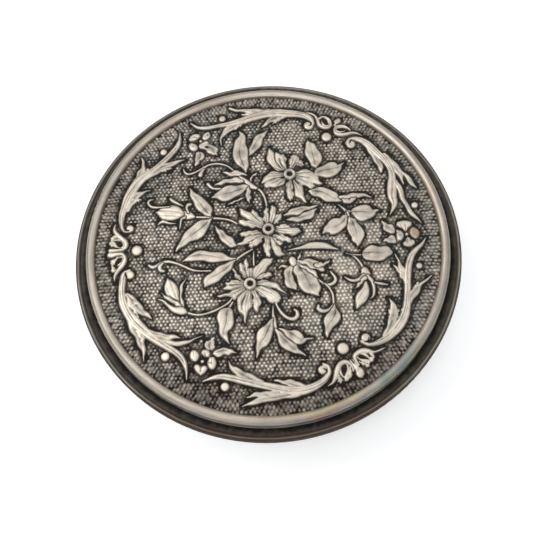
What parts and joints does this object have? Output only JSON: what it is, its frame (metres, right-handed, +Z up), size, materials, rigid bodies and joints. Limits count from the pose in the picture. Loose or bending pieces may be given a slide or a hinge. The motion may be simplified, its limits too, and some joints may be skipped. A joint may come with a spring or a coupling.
{
  "type": "pill box",
  "caption": "Round silver pill box: a stamped floral lid in a beaded rim lifts off a shallow drum on a foot ring, held by a close-fitting skirt.",
  "frame": {"origin": "centre of the foot ring's flat underside, at the bottom centre of the box's bounding box", "axes": "+Z up along the box's axis; -X runs through one of the three large pearls of the lid's border"},
  "size_m": [0.05, 0.05, 0.0141],
  "materials": {
    "oxidised_silver": "satin",
    "worn_silver": "satin",
    "plain_silver": "satin",
    "gilt": "satin"
  },
  "bodies": {
    "body": {"body_wall": "plain_silver", "body_rim": "worn_silver", "base_plate": "gilt", "foot_ring": "plain_silver"},
    "lid": {"lid_panel": "oxidised_silver", "lid_bead_ring": "worn_silver", "lid_rim": "worn_silver", "lid_skirt": "plain_silver", "lid_lining": "gilt"}
  },
  "joints": [
    {"name": "lid_lift", "type": "slide", "parent": "body", "child": "lid", "axis": [0, 0, 1], "range_m": [0, 0.03]}
  ]
}
